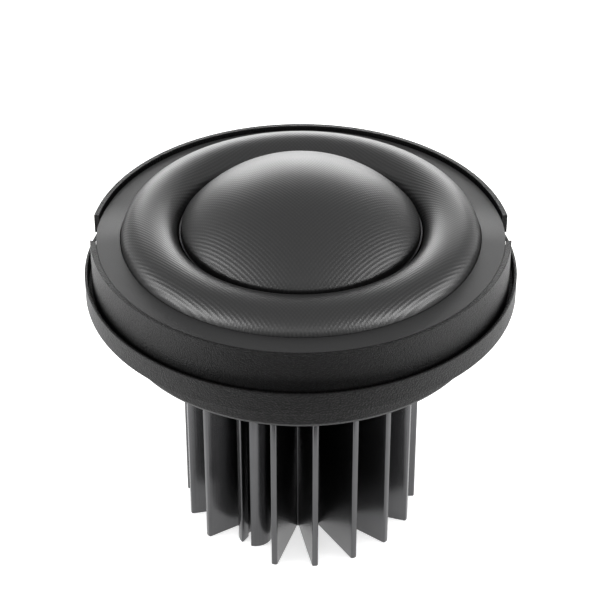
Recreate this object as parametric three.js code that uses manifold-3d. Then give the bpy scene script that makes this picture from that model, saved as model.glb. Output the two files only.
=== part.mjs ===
// A soft-dome car tweeter: woven dome and roll surround, neodymium motor in a flanged basket,
// a press-on trim ring and a star-shaped extruded heat sink. Millimetres, +Z up, front towards -Y.
// The origin is on the axis, in the plane of the fins' feet.

import * as THREE from 'three';
import { mergeVertices } from 'three/addons/utils/BufferGeometryUtils.js';
import Module from 'manifold-3d';

const wasm = await Module();
wasm.setup();

// Turning
const SEGMENTS = 48;
const SMALL_SEGMENTS = 20;
const CORNER_SEGMENTS = 3;
const POST_SEGMENTS = 24;
const BORE_SEGMENTS = 16;
const WIRE_SEGMENTS = 8;
const WEDGE_STEPS = 6;
const ARC_STEPS = 8;
const DEG = Math.PI / 180;
const OVERCUT = 1;            // how far a cutting shape runs past the surface that it cuts
const TALL = 54;              // taller than the whole object
const GLUE = 0.03;            // glue line between pieces that are stuck together
const CUT_CLEARANCE = 0.3;    // gap round a piece that sits in a cut opening

// Heat sink
const FINS = 18;
const FIN_TURN = 7;           // angle of the first fin, from the front towards +X
const FIN_REACH = 14.14;
const FIN_TIP_HALF = 0.38;
const FIN_CORNER = 0.24;
const CORE_RADIUS = 6.4;
const FIN_ROOT_HALF = 1.09;
const FIN_START = 4;          // the fins begin inside the core
const FIN_TAPER = 0.09;       // how much thinner half a fin gets for each millimetre outwards
const SINK_TOP = 26.95;
const PAD_RADIUS = 13;
const PORT_TURNS = [-35, 145];
const PORT_FINS = [16, 7];    // the fins that end in a port
const PORT_DISTANCE = 10.1;
const PORT_RADIUS = 2.05;
const PORT_BORE = 0.88;
const PORT_SLOT = 1.12;

// Screws
const SHANK_RADIUS = 0.7;
const SCREW_HEAD_RADIUS = 1.8;
const SCREW_TIP = 20;
const SCREW_POINT = 1;
const SCREW_HEAD_TOP = 28.4;
const SCREW_HEAD_DEPTH = 1;
const SCREW_HEAD_RIM = 0.15;
const RECESS = 0.35;
const RECESS_REACH = 1;
const RECESS_DEPTH = 0.6;
const SEAT_GAP = 0.1;         // between a screw's head and its countersunk seat

// Basket
const BASKET_BOTTOM = 27.3;
const FLOOR_TOP = 28.5;
const BODY_RADIUS = 21.81;
const BODY_BEVEL = 0.18;
const CHAMBER_RADIUS = 19.8;
const COLLAR_RADIUS = 22.3;
const COLLAR_TOP = 36.7;
const FLANGE_UNDERSIDE = 31.56;
const FLANGE_RADIUS = 25;
const FLANGE_CHAMFER = 0.16;
const GROOVE_FLOOR = 32.6;
const LIP_TOP = 34.34;
const LIP_INNER = 24.64;
const WINDOW_ANGLES = [98, 107];
const WINDOW_HEIGHTS = [32.9, 34.08];

// Motor
const YOKE_RADIUS = 17.6;
const YOKE_TOP = 36.2;
const YOKE_FLOOR = 30.7;
const YOKE_BORE = 14.95;
const MAGNET_RADIUS = 12.5;
const PLATE_RADIUS = 12.9;
const PLATE_BOTTOM = 33.7;
const CAP_RADIUS = 13.2;
const CAP_TOP = 36.5;
const CAP_THICKNESS = 0.25;
const CAP_SKIRT_BOTTOM = 33.8;
const POLE_FELT_RADIUS = 11.5;
const POLE_FELT_TOP = 38.2;
const CHAMBER_FELT = [17.75, 18.45];
const CHAMBER_FELT_TOP = 33.5;

// Diaphragm
const DOME_SPHERE = 17.34;
const DOME_CENTRE = 29.25;
const DOME_EDGE = 13.68;
const DOME_WALL = 0.3;
const DOME_COLLAR_BOTTOM = 38.3;
const FORMER_INNER = 13.72;
const FORMER_OUTER = 13.98;
const FORMER_TOP = 39.15;
const FORMER_BOTTOM = 32.7;
const COIL_OUTER = 14.45;
const COIL_HEIGHTS = [32.9, 37];
const ROLL_CENTRE = [17.33, 38.18];
const ROLL_HALF_WIDTH = 3.36;
const ROLL_HEIGHT = 3.02;
const ROLL_WALL = 0.28;
const ROLL_COLLAR = [14.02, 14.3];
const ROLL_COLLAR_BOTTOM = 38.4;
const ROLL_RIM = 21.4;

// Front rings
const RING_RADII = [18.6, 21.1];
const RING_HEIGHTS = [36.95, 37.86];
const GASKET_INNER = 19.9;
const GASKET_HEIGHTS = [36.73, 36.92];
const LAND_TOP = 38.74;
const LAND_INNER = 20.72;
const LAND_OUTER = 23.38;
const LAND_LEDGE = 21.6;
const LAND_EDGE = 0.12;
const FACE_INNER = 22.4;
const TRIM_BOTTOM = 32.65;
const TRIM_INNER = 23.45;
const SKIRT_RADIUS = 24.12;
const SKIRT_TOP = 39.08;
const SKIRT_EDGE = 0.06;
const SKIRT_END = 84.5;       // half the skirt's angle, from the front
const BASE_TOP = 34.3;
const RIM_ROOT = 0.2;         // how far the rear rim reaches down into the base
const REAR_RADII = [23.66, 24.25];
const REAR_TOP = 38.75;
const REAR_START = 98.1;      // where the rear rim begins, from the front
const CLIP_SLOT_TURNS = [97, 118];
const CLIP_SLOT_TOP = 36.37;

// Terminals and lead-outs
const STRIP_X = 2.2;
const STRIP_WIDTH = 2;
const STRIP_THICKNESS = 0.5;
const STRIP_INNER_Y = 18.7;
const STRIP_OUTER_Y = 24.4;
const STRIP_TOP = 36.2;
const STRIP_LEVEL = 30.05;
const TAB_BOTTOM = 22;
const BLOCK_HALF_WIDTH = 4.6;
const BLOCK_OUTER_Y = 23.85;
const BLOCK_HEIGHTS = [28.2, 31.3];
const PLUG_HALF_WIDTH = 3.9;
const PLUG_HEIGHTS = [29.3, 31.2];
const PLUG_INNER_Y = 20;
const PLUG_HOLE_TOP = 31.51;
const LEAD_RADIUS = 0.18;
const LEAD_STEPS = 10;
const LEAD_POINTS = [         // distance from the axis and height, from the coil to the strip
  [14.53, 37.45],
  [15.63, 37.85],
  [16.93, 37.5],
  [18.05, 36.75],
  [18.95, 36.5],
];

// Materials

function material(color, roughness, metalness) {
  return new THREE.MeshStandardMaterial({ color, roughness, metalness });
}

const blackAnodised = () => material(0x2b2b2d, 0.4, 0.7);
const blackCasting = () => material(0x1d1d1e, 0.65, 0.3);
const blackPlastic = () => material(0x232324, 0.6, 0);
const wovenTextile = () => material(0x1a1a1b, 0.75, 0);
const nickelledSteel = () => material(0x9a9a98, 0.35, 1);
const zincSteel = () => material(0xa8a8a4, 0.4, 1);
const copper = () => material(0xb06a42, 0.35, 1);
const brass = () => material(0xb8974e, 0.35, 1);
const felt = () => material(0x4a4a48, 0.95, 0);
const former = () => material(0xa4a4a4, 0.4, 0.9);
const foam = () => material(0x2a2a2a, 0.95, 0);

// Geometry helpers

// Closed copy of a geometry: shared points merged, faces without area dropped.
function closed(geometry) {
  const bare = geometry.clone();
  bare.deleteAttribute('normal');
  bare.deleteAttribute('uv');
  const merged = mergeVertices(bare);
  const corners = merged.index.array;
  const kept = [];
  for (let i = 0; i < corners.length; i += 3) {
    const [a, b, c] = [corners[i], corners[i + 1], corners[i + 2]];
    if (a !== b && b !== c && c !== a) kept.push(a, b, c);
  }
  merged.setIndex(kept);
  merged.computeVertexNormals();
  return merged;
}

// A closed geometry as a solid that can be joined and cut.
function solid(geometry) {
  const body = closed(geometry);
  const vertProperties = new Float32Array(body.attributes.position.array);
  const triVerts = new Uint32Array(body.index.array);
  return new wasm.Manifold(new wasm.Mesh({ numProp: 3, vertProperties, triVerts }));
}

// The geometry of a joined or cut solid.
function geometryOf(body) {
  const mesh = body.getMesh();
  const geometry = new THREE.BufferGeometry();
  const positions = new Float32Array(mesh.vertProperties);
  geometry.setAttribute('position', new THREE.BufferAttribute(positions, 3));
  geometry.setIndex(Array.from(mesh.triVerts));
  geometry.computeVertexNormals();
  return geometry;
}

// An outline of [radius, height] points, listed anticlockwise, turned about Z.
function turned(outline, segments = SEGMENTS) {
  const points = outline.map(([r, z]) => new THREE.Vector2(r, z));
  const onAxis = outline[0][0] === 0 && outline.at(-1)[0] === 0;
  if (!onAxis) points.push(points[0].clone());
  const geometry = new THREE.LatheGeometry(points, segments);
  geometry.rotateX(Math.PI / 2);
  return closed(geometry);
}

// A plain turned ring, or a disc when its inner radius is zero.
function ring(inner, outer, bottom, top, segments = SEGMENTS) {
  return turned([[inner, bottom], [outer, bottom], [outer, top], [inner, top]], segments);
}

// Points on an ellipse in the [radius, height] plane, both ends included; angles in degrees.
function ellipse([centreR, centreZ], width, height, from, to) {
  const points = [];
  for (let i = 0; i <= ARC_STEPS; i += 1) {
    const angle = (from + ((to - from) * i) / ARC_STEPS) * DEG;
    points.push([centreR + width * Math.cos(angle), centreZ + height * Math.sin(angle)]);
  }
  return points;
}

// A flat outline pushed up along Z.
function prism(shape, bottom, top) {
  const geometry = new THREE.ExtrudeGeometry(shape, {
    depth: top - bottom,
    bevelEnabled: false,
    curveSegments: CORNER_SEGMENTS,
  });
  geometry.translate(0, 0, bottom);
  return geometry;
}

// A box given by its limits along each axis.
function box([x0, x1], [y0, y1], [z0, z1]) {
  const geometry = new THREE.BoxGeometry(x1 - x0, y1 - y0, z1 - z0);
  geometry.translate((x0 + x1) / 2, (y0 + y1) / 2, (z0 + z1) / 2);
  return geometry;
}

// The point at an angle from the front, towards +X, and a distance from the axis.
function polar(turn, distance) {
  return [distance * Math.sin(turn * DEG), -distance * Math.cos(turn * DEG)];
}

// A tall wedge of the space between two angles, for cutting turned rings into arcs.
function wedge([from, to], bottom, top) {
  const reach = 2 * FLANGE_RADIUS;
  const shape = new THREE.Shape();
  shape.moveTo(0, 0);
  for (let i = 0; i <= WEDGE_STEPS; i += 1) {
    shape.lineTo(...polar(from + ((to - from) * i) / WEDGE_STEPS, reach));
  }
  return solid(prism(shape, bottom, top));
}

// The same wedge on both sides of the object.
function wedgePair([from, to], bottom, top) {
  return wedge([from, to], bottom, top).add(wedge([-to, -from], bottom, top));
}

// Heat sink and its screws

// One fin's outline, pointing to the front: wide at the core, round-cornered at the tip.
function finShape() {
  const coreHalf = FIN_ROOT_HALF + (CORE_RADIUS - FIN_START) * FIN_TAPER;
  const cornerX = FIN_TIP_HALF - FIN_CORNER;
  const cornerY = FIN_CORNER - FIN_REACH;
  const shape = new THREE.Shape();
  shape.moveTo(-coreHalf, -FIN_START);
  shape.absarc(-cornerX, cornerY, FIN_CORNER, Math.PI, 1.5 * Math.PI, false);
  shape.absarc(cornerX, cornerY, FIN_CORNER, 1.5 * Math.PI, 2 * Math.PI, false);
  shape.lineTo(coreHalf, -FIN_START);
  return shape;
}

function portPost(turn) {
  const post = new THREE.CylinderGeometry(PORT_RADIUS, PORT_RADIUS, SINK_TOP, POST_SEGMENTS);
  post.rotateX(Math.PI / 2);
  post.translate(0, -PORT_DISTANCE, SINK_TOP / 2);
  post.rotateZ(turn * DEG);
  return solid(post);
}

// The bore of a screw port with the slot that opens it to the outside.
function portOpening(turn) {
  const bore = new THREE.CylinderGeometry(PORT_BORE, PORT_BORE, TALL, BORE_SEGMENTS);
  bore.rotateX(Math.PI / 2);
  bore.translate(0, -PORT_DISTANCE, SINK_TOP / 2);
  const half = PORT_SLOT / 2;
  const slotEnd = -PORT_DISTANCE - 2 * PORT_RADIUS;
  const slot = box([-half, half], [slotEnd, -PORT_DISTANCE], [-OVERCUT, SINK_TOP + OVERCUT]);
  bore.rotateZ(turn * DEG);
  slot.rotateZ(turn * DEG);
  return solid(bore).add(solid(slot));
}

function heatSink() {
  let sink = solid(ring(0, CORE_RADIUS, 0, SINK_TOP));
  const nose = ring(0, PORT_DISTANCE, -OVERCUT, SINK_TOP + OVERCUT);
  for (let i = 0; i < FINS; i += 1) {
    const fin = prism(finShape(), 0, SINK_TOP);
    fin.rotateZ((FIN_TURN + (i * 360) / FINS) * DEG);
    const whole = solid(fin);
    sink = sink.add(PORT_FINS.includes(i) ? whole.intersect(solid(nose)) : whole);
  }
  for (const turn of PORT_TURNS) {
    sink = sink.add(portPost(turn)).subtract(portOpening(turn));
  }
  return geometryOf(sink);
}

function screw(turn) {
  const neck = SCREW_HEAD_TOP - SCREW_HEAD_DEPTH;
  const shank = solid(turned([
    [0, SCREW_TIP],
    [SHANK_RADIUS / 2, SCREW_TIP],
    [SHANK_RADIUS, SCREW_TIP + SCREW_POINT],
    [SHANK_RADIUS, neck],
    [SCREW_HEAD_RADIUS, SCREW_HEAD_TOP - SCREW_HEAD_RIM],
    [SCREW_HEAD_RADIUS, SCREW_HEAD_TOP],
    [0, SCREW_HEAD_TOP],
  ], SMALL_SEGMENTS));
  const depths = [SCREW_HEAD_TOP - RECESS_DEPTH, SCREW_HEAD_TOP + OVERCUT];
  const reach = [-RECESS_REACH, RECESS_REACH];
  const width = [-RECESS / 2, RECESS / 2];
  const across = solid(box(reach, width, depths));
  const along = solid(box(width, reach, depths));
  const geometry = geometryOf(shank.subtract(across.add(along)));
  geometry.translate(...polar(turn, PORT_DISTANCE), 0);
  return geometry;
}

function thermalPad() {
  let pad = solid(ring(0, PAD_RADIUS, SINK_TOP + GLUE, BASKET_BOTTOM - GLUE));
  const clearance = SHANK_RADIUS + CUT_CLEARANCE;
  for (const turn of PORT_TURNS) {
    const hole = ring(0, clearance, SINK_TOP - OVERCUT, BASKET_BOTTOM + OVERCUT, SMALL_SEGMENTS);
    hole.translate(...polar(turn, PORT_DISTANCE), 0);
    pad = pad.subtract(solid(hole));
  }
  return geometryOf(pad);
}

// Basket

// The countersunk hole in the basket floor for a heat sink screw.
function screwHole(turn) {
  const clearance = SHANK_RADIUS + CUT_CLEARANCE;
  const mouth = SCREW_HEAD_RADIUS + CUT_CLEARANCE;
  const hole = turned([
    [0, BASKET_BOTTOM - OVERCUT],
    [clearance, BASKET_BOTTOM - OVERCUT],
    [clearance, SCREW_HEAD_TOP - SCREW_HEAD_DEPTH - SEAT_GAP],
    [mouth, SCREW_HEAD_TOP - SCREW_HEAD_RIM - SEAT_GAP],
    [mouth, FLOOR_TOP + OVERCUT],
    [0, FLOOR_TOP + OVERCUT],
  ], SMALL_SEGMENTS);
  hole.translate(...polar(turn, PORT_DISTANCE), 0);
  return solid(hole);
}

function basket() {
  let cup = solid(turned([
    [0, BASKET_BOTTOM],
    [BODY_RADIUS - BODY_BEVEL, BASKET_BOTTOM],
    [BODY_RADIUS, BASKET_BOTTOM + BODY_BEVEL],
    [BODY_RADIUS, FLANGE_UNDERSIDE],
    [FLANGE_RADIUS - FLANGE_CHAMFER, FLANGE_UNDERSIDE],
    [FLANGE_RADIUS, FLANGE_UNDERSIDE + FLANGE_CHAMFER],
    [FLANGE_RADIUS, LIP_TOP],
    [LIP_INNER, LIP_TOP],
    [LIP_INNER, GROOVE_FLOOR],
    [COLLAR_RADIUS, GROOVE_FLOOR],
    [COLLAR_RADIUS, COLLAR_TOP],
    [CHAMBER_RADIUS, COLLAR_TOP],
    [CHAMBER_RADIUS, FLOOR_TOP],
    [0, FLOOR_TOP],
  ]));
  for (const turn of PORT_TURNS) cup = cup.subtract(screwHole(turn));
  const lipRing = solid(ring(LIP_INNER - OVERCUT, FLANGE_RADIUS + OVERCUT, ...WINDOW_HEIGHTS));
  const windows = lipRing.intersect(wedgePair(WINDOW_ANGLES, 0, TALL));
  const half = PLUG_HALF_WIDTH + CUT_CLEARANCE;
  const depths = [CHAMBER_RADIUS - OVERCUT, BODY_RADIUS + OVERCUT];
  const heights = [PLUG_HEIGHTS[0] - CUT_CLEARANCE, PLUG_HOLE_TOP];
  const plugHole = solid(box([-half, half], depths, heights));
  return geometryOf(cup.subtract(windows).subtract(plugHole));
}

// Motor

function yokeCup() {
  const bottom = FLOOR_TOP + GLUE;
  return turned([
    [0, bottom],
    [YOKE_RADIUS, bottom],
    [YOKE_RADIUS, YOKE_TOP],
    [YOKE_BORE, YOKE_TOP],
    [YOKE_BORE, YOKE_FLOOR],
    [0, YOKE_FLOOR],
  ]);
}

function shortingCap() {
  return turned([
    [0, CAP_TOP - CAP_THICKNESS],
    [PLATE_RADIUS + GLUE, CAP_TOP - CAP_THICKNESS],
    [PLATE_RADIUS + GLUE, CAP_SKIRT_BOTTOM],
    [CAP_RADIUS, CAP_SKIRT_BOTTOM],
    [CAP_RADIUS, CAP_TOP],
    [0, CAP_TOP],
  ]);
}

// Diaphragm

// The dome with the collar that is glued inside the former.
function dome() {
  const innerSphere = DOME_SPHERE - DOME_WALL;
  const innerEdge = DOME_EDGE - DOME_WALL;
  const base = Math.acos(DOME_EDGE / DOME_SPHERE) / DEG;
  const innerBase = Math.acos(innerEdge / innerSphere) / DEG;
  const centre = [0, DOME_CENTRE];
  const outside = ellipse(centre, DOME_SPHERE, DOME_SPHERE, base, 90);
  const inside = ellipse(centre, innerSphere, innerSphere, 90, innerBase);
  outside.at(-1)[0] = 0;
  inside[0][0] = 0;
  return turned([
    ...inside,
    [innerEdge, DOME_COLLAR_BOTTOM],
    [DOME_EDGE, DOME_COLLAR_BOTTOM],
    ...outside,
  ]);
}

// The half-roll with its glued collar on the former and its flat rim under the land.
function surround() {
  const [collarInner, collarOuter] = ROLL_COLLAR;
  const centre = ROLL_CENTRE;
  const startAngle = 180 - Math.acos((centre[0] - collarInner) / ROLL_HALF_WIDTH) / DEG;
  const innerWidth = ROLL_HALF_WIDTH - ROLL_WALL;
  const innerAngle = 180 - Math.acos((centre[0] - collarOuter) / innerWidth) / DEG;
  const outside = ellipse(centre, ROLL_HALF_WIDTH, ROLL_HEIGHT, 0, startAngle);
  const inside = ellipse(centre, innerWidth, ROLL_HEIGHT - ROLL_WALL, innerAngle, 0);
  inside.at(-1)[1] = centre[1] - ROLL_WALL;
  return turned([
    [ROLL_RIM, centre[1] - ROLL_WALL],
    [ROLL_RIM, centre[1]],
    ...outside,
    [collarInner, ROLL_COLLAR_BOTTOM],
    [collarOuter, ROLL_COLLAR_BOTTOM],
    ...inside,
  ]);
}

// Front rings

function faceplate() {
  const ledge = ROLL_CENTRE[1] + GLUE;
  return turned([
    [LAND_INNER, ledge],
    [LAND_LEDGE, ledge],
    [LAND_LEDGE, COLLAR_TOP + GLUE],
    [FACE_INNER, COLLAR_TOP + GLUE],
    [FACE_INNER, TRIM_BOTTOM],
    [LAND_OUTER, TRIM_BOTTOM],
    [LAND_OUTER, LAND_TOP - LAND_EDGE],
    [LAND_OUTER - LAND_EDGE, LAND_TOP],
    [LAND_INNER + LAND_EDGE, LAND_TOP],
    [LAND_INNER, LAND_TOP - LAND_EDGE],
  ]);
}

// The trim ring: a low ring in the flange groove, the front skirt, the rear rim and, between
// them, a notch on each side that runs on as a clip slot under the ends of the rear rim.
function trimRing() {
  const base = solid(ring(TRIM_INNER, SKIRT_RADIUS, TRIM_BOTTOM, BASE_TOP));
  const skirt = solid(turned([
    [TRIM_INNER, TRIM_BOTTOM],
    [SKIRT_RADIUS, TRIM_BOTTOM],
    [SKIRT_RADIUS, SKIRT_TOP - SKIRT_EDGE],
    [SKIRT_RADIUS - SKIRT_EDGE, SKIRT_TOP],
    [TRIM_INNER, LAND_TOP + GLUE],
  ]));
  const rim = solid(turned([
    [REAR_RADII[0], BASE_TOP - RIM_ROOT],
    [REAR_RADII[1], BASE_TOP - RIM_ROOT],
    [REAR_RADII[1], REAR_TOP],
    [REAR_RADII[0], REAR_TOP],
  ]));
  const front = wedge([-SKIRT_END, SKIRT_END], 0, TALL);
  const rear = wedge([REAR_START, 360 - REAR_START], 0, TALL);
  const slots = wedgePair(CLIP_SLOT_TURNS, BASE_TOP, CLIP_SLOT_TOP);
  const arcs = skirt.intersect(front).add(rim.intersect(rear).subtract(slots));
  return geometryOf(base.add(arcs));
}

// Terminals and lead-outs

// A bent strip: up inside the chamber, out through the block, and down its face as a tab.
function terminalStrip(side) {
  const inner = STRIP_INNER_Y;
  const outer = STRIP_OUTER_Y;
  const t = STRIP_THICKNESS;
  const profile = [
    [inner, STRIP_LEVEL],
    [outer - t, STRIP_LEVEL],
    [outer - t, TAB_BOTTOM],
    [outer, TAB_BOTTOM],
    [outer, STRIP_LEVEL + t],
    [inner + t, STRIP_LEVEL + t],
    [inner + t, STRIP_TOP],
    [inner, STRIP_TOP],
  ];
  const shape = new THREE.Shape(profile.map(([y, z]) => new THREE.Vector2(y, z)));
  const strip = new THREE.ExtrudeGeometry(shape, { depth: STRIP_WIDTH, bevelEnabled: false });
  strip.rotateX(Math.PI / 2);
  strip.rotateZ(Math.PI / 2);
  strip.translate(side * STRIP_X - STRIP_WIDTH / 2, 0, 0);
  return closed(strip);
}

// The slot that a strip passes through.
function stripSlot(side) {
  const gap = CUT_CLEARANCE;
  const half = STRIP_WIDTH / 2 + gap;
  const across = [side * STRIP_X - half, side * STRIP_X + half];
  const level = [STRIP_LEVEL - gap, STRIP_LEVEL + STRIP_THICKNESS + gap];
  return solid(box(across, [PLUG_INNER_Y - OVERCUT, BLOCK_OUTER_Y + OVERCUT], level));
}

function terminalBlock() {
  const wide = [-BLOCK_HALF_WIDTH, BLOCK_HALF_WIDTH];
  const narrow = [-PLUG_HALF_WIDTH, PLUG_HALF_WIDTH];
  const outer = solid(box(wide, [BODY_RADIUS - OVERCUT, BLOCK_OUTER_Y], BLOCK_HEIGHTS));
  const wall = solid(ring(0, BODY_RADIUS + CUT_CLEARANCE, 0, TALL));
  const plug = solid(box(narrow, [PLUG_INNER_Y, BODY_RADIUS + OVERCUT], PLUG_HEIGHTS));
  const block = outer.subtract(wall).add(plug);
  return geometryOf(block.subtract(stripSlot(-1)).subtract(stripSlot(1)));
}

// A short slack wire from the coil to the top of a terminal strip.
function leadOut(side) {
  const points = LEAD_POINTS.map(([y, z]) => new THREE.Vector3(side * STRIP_X, y, z));
  const path = new THREE.CatmullRomCurve3(points);
  const section = new THREE.Shape().absarc(0, 0, LEAD_RADIUS, 0, 2 * Math.PI, false);
  const wire = new THREE.ExtrudeGeometry(section, {
    steps: LEAD_STEPS,
    curveSegments: WIRE_SEGMENTS,
    extrudePath: path,
  });
  return closed(wire);
}

// Assembly

const tweeter = new THREE.Group();

function place(name, geometry, finish) {
  const mesh = new THREE.Mesh(geometry, finish);
  mesh.name = name;
  tweeter.add(mesh);
}

place('heat_sink', heatSink(), blackAnodised());
place('heat_sink_screw_front', screw(PORT_TURNS[0]), zincSteel());
place('heat_sink_screw_rear', screw(PORT_TURNS[1]), zincSteel());
place('thermal_pad', thermalPad(), foam());
place('basket', basket(), blackCasting());

place('yoke_cup', yokeCup(), nickelledSteel());
place('magnet', ring(0, MAGNET_RADIUS, YOKE_FLOOR + GLUE, PLATE_BOTTOM - GLUE), nickelledSteel());
place('pole_plate', ring(0, PLATE_RADIUS, PLATE_BOTTOM, CAP_TOP - CAP_THICKNESS - GLUE), nickelledSteel());
place('shorting_cap', shortingCap(), copper());
place('pole_felt', ring(0, POLE_FELT_RADIUS, CAP_TOP + GLUE, POLE_FELT_TOP), felt());
place('chamber_felt', ring(...CHAMBER_FELT, FLOOR_TOP + GLUE, CHAMBER_FELT_TOP), felt());

place('dome', dome(), wovenTextile());
place('voice_coil_former', ring(FORMER_INNER, FORMER_OUTER, FORMER_BOTTOM, FORMER_TOP), former());
place('voice_coil', ring(FORMER_OUTER + GLUE, COIL_OUTER, ...COIL_HEIGHTS), copper());
place('surround', surround(), wovenTextile());

place('diaphragm_gasket', ring(GASKET_INNER, RING_RADII[1], ...GASKET_HEIGHTS), foam());
place('diaphragm_ring', ring(...RING_RADII, ...RING_HEIGHTS), blackPlastic());
place('faceplate', faceplate(), blackPlastic());
place('trim_ring', trimRing(), blackPlastic());

place('terminal_block', terminalBlock(), blackPlastic());
place('terminal_plus', terminalStrip(1), brass());
place('terminal_minus', terminalStrip(-1), brass());
place('lead_plus', leadOut(1), copper());
place('lead_minus', leadOut(-1), copper());

export default tweeter;
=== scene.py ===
"""Looks of a soft-dome car tweeter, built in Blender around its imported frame.

Sizes are in millimetres, +Z runs along the axis towards the dome, and the front is towards -Y.
"""

import logging
import math
from dataclasses import dataclass
from enum import Enum

import bmesh
import bpy
from mathutils import Matrix, Vector
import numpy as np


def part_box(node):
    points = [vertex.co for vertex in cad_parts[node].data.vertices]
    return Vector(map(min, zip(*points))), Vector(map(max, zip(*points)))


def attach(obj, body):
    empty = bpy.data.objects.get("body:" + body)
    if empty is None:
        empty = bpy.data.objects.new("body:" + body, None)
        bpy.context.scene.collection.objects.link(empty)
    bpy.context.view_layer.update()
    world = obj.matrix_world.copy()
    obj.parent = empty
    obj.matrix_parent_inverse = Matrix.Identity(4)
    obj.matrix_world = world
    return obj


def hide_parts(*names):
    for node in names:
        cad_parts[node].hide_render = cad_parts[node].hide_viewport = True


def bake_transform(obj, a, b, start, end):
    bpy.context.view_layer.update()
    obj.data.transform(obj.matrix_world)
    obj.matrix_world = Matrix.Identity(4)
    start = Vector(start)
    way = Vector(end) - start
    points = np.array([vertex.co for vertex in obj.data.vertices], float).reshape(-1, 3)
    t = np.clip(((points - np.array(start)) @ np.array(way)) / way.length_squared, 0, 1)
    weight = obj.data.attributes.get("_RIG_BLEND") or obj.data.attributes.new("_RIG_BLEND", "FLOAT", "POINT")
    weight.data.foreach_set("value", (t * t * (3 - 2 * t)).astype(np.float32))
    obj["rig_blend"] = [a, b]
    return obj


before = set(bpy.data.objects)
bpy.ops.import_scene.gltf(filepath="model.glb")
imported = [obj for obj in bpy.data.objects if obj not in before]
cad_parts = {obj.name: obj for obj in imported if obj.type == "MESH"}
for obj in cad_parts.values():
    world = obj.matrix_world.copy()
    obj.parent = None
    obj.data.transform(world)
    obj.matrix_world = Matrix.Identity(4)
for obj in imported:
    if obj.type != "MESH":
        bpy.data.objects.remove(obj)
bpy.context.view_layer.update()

MM = 0.001
TALL = 60.0
SHARP_ANGLE = 38.0
RING_SEGMENTS = 288
HIDDEN_SEGMENTS = 128
SIDE_SEGMENTS = 140
SMALL_SEGMENTS = 48
CUTTER_SEGMENTS = 12
SPARE = 1.0
LOG = logging.getLogger("tweeter")

Point = tuple[float, float]
Colour = tuple[float, float, float]
Thing = bpy.types.Object
Socket = bpy.types.NodeSocket


class Body(Enum):
    """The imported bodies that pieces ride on."""

    HOUSING = "housing"
    DIAPHRAGM = "diaphragm"


class Slot(Enum):
    """The material slots."""

    ANODISED = "anodised_aluminium"
    ZINC = "zinc_steel"
    PAD = "thermal_pad"
    CASTING = "black_casting"
    MOTOR_STEEL = "motor_steel"
    NICKEL = "nickel_plate"
    COPPER = "copper"
    FELT = "felt"
    CLOTH = "woven_textile"
    FOIL = "former_foil"
    FOAM = "gasket_foam"
    PLASTIC = "black_plastic"
    GRAINED = "grained_plastic"
    BRASS = "brass"


class Use(Enum):
    """What a studio light is for."""

    GLOSS = "reflections only"
    FILL = "even light only"


class Cut(Enum):
    """How one solid is combined with another."""

    ADD = "UNION"
    REMOVE = "DIFFERENCE"


# Outlines


def polar(turn: float, distance: float) -> Point:
    """Gives x and y from a turn in degrees from the front towards +X, and from the distance."""
    angle = math.radians(turn)
    return distance * math.sin(angle), -distance * math.cos(angle)


def arc(centre: Point, radii: Point, ends: Point, steps: int) -> list[Point]:
    """Lists points along an elliptical arc.

    Args:
        centre: the ellipse's centre.
        radii: its half width and half height.
        ends: the first and last angle in degrees, from the first axis.
        steps: how many steps the arc is divided into.

    Returns:
        The points, both ends included.
    """
    points = []
    for step in range(steps + 1):
        angle = math.radians(ends[0] + (ends[1] - ends[0]) * step / steps)
        across = centre[0] + radii[0] * math.cos(angle)
        points.append((across, centre[1] + radii[1] * math.sin(angle)))
    return points


def corner_points(before: Vector, here: Vector, after: Vector, radius: float) -> list[Point]:
    """Rounds one corner, with a holding point on each flat beside it.

    Args:
        before: the outline's point before the corner.
        here: the corner.
        after: the point after it.
        radius: the rounding's radius, made smaller where the flats are short.

    Returns:
        The points that stand for the corner.
    """
    steps, most, hold = 3, 0.4, 1.15
    back, ahead = before - here, after - here
    turn = math.pi - back.angle(ahead)
    reach = min(radius * math.tan(turn / 2), most * back.length, most * ahead.length)
    radius = reach / math.tan(turn / 2)
    back.normalize()
    ahead.normalize()
    centre = here + (back + ahead).normalized() * radius / math.cos(turn / 2)
    side = 1 if back.cross(ahead) < 0 else -1
    spoke = here + back * reach - centre
    points = [tuple(here + back * reach * hold)]
    for step in range(steps + 1):
        angle = side * turn * step / steps
        turned_spoke = Vector((
            spoke.x * math.cos(angle) - spoke.y * math.sin(angle),
            spoke.x * math.sin(angle) + spoke.y * math.cos(angle),
        ))
        points.append(tuple(centre + turned_spoke))
    points.append(tuple(here + ahead * reach * hold))
    return points


def filleted(outline: list[Point], radius: float, others: dict[int, float] | None = None) -> list[Point]:
    """Rounds the sharp corners of a closed outline.

    Args:
        outline: the outline's points.
        radius: the corner radius.
        others: other radii for some corners, by their place in the outline.

    Returns:
        The outline with a small arc at each sharp corner that is off the axis.
    """
    smallest_turn = math.radians(25)
    points = []
    for index, place in enumerate(outline):
        before = Vector(outline[index - 1])
        after = Vector(outline[(index + 1) % len(outline)])
        here = Vector(place)
        turn = math.pi - (before - here).angle(after - here)
        if place[0] < MM or turn < smallest_turn:
            points.append(place)
        else:
            own = (others or {}).get(index, radius)
            points.extend(corner_points(before, here, after, own))
    return points


def ring(inner: float, outer: float, bottom: float, top: float) -> list[Point]:
    """Gives the outline of a plain ring, or of a disc when its inner radius is zero."""
    return [(inner, bottom), (outer, bottom), (outer, top), (inner, top)]


def limits(node: str) -> list[Vector]:
    """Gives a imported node's lowest and highest corners in millimetres."""
    return [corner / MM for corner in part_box(node)]


def eased(value: float, start: float, end: float) -> float:
    """Gives a smooth share, 0 up to the start and 1 from the end on."""
    share = min(max((value - start) / (end - start), 0), 1)
    return share * share * (3 - 2 * share)


# Solids


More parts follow.
